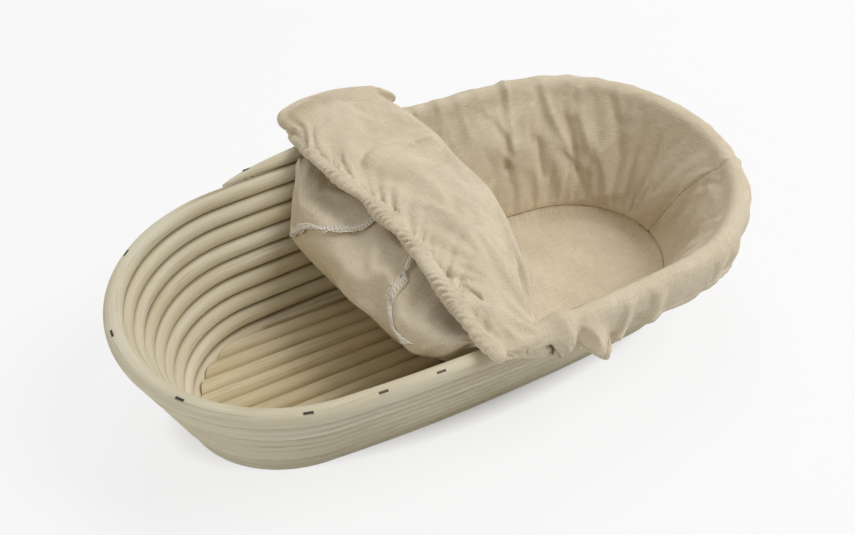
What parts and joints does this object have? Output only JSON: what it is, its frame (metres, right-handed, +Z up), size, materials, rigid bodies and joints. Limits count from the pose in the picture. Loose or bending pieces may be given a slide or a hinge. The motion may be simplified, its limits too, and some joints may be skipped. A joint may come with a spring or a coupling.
{
  "type": "proofing basket",
  "caption": "Oval cane basket for proving dough, wound from round cane with a floor of straight canes, and a removable elasticated cloth liner folded back over one half.",
  "frame": {"origin": "middle of the basket's base oval, on the table", "axes": "+Z up out of the basket, +X along the basket towards the lined end, +Y towards the back rim where the wound cane ends"},
  "size_m": [0.3703, 0.22, 0.1088],
  "materials": {
    "wall_cane": "bare rattan core, matte, fine lengthwise grain",
    "floor_cane": "bare rattan core, matte, slightly darker",
    "staple_wire": "dull flat steel wire",
    "liner_cloth": "unbleached plain-weave cotton and linen, thin and creased",
    "elastic": "covered elastic cord"
  },
  "bodies": {
    "basket": {"wall_coil": "wall_cane", "floor_cane_1": "floor_cane", "floor_cane_2": "floor_cane", "floor_cane_3": "floor_cane", "floor_cane_4": "floor_cane", "floor_cane_5": "floor_cane", "floor_cane_6": "floor_cane", "floor_cane_7": "floor_cane", "floor_cane_8": "floor_cane", "floor_cane_9": "floor_cane", "floor_filler_front": "floor_cane", "floor_filler_back": "floor_cane", "rim_staples": "staple_wire", "wall_staples": "staple_wire", "floor_staples": "staple_wire"},
    "liner": {"liner_floor": "liner_cloth", "liner_front_panel": "liner_cloth", "liner_back_panel": "liner_cloth", "skirt_hem": "liner_cloth", "liner_fold_under": "liner_cloth", "liner_fold_top": "liner_cloth", "fold_hem": "liner_cloth", "seam_allowance_front": "liner_cloth", "seam_allowance_back": "liner_cloth", "skirt_elastic": "elastic", "fold_elastic": "elastic"}
  },
  "joints": [
    {"name": "liner_lift", "type": "slide", "parent": "basket", "child": "liner", "axis": [0, 0, 1], "range_m": [0, 0.11]}
  ]
}
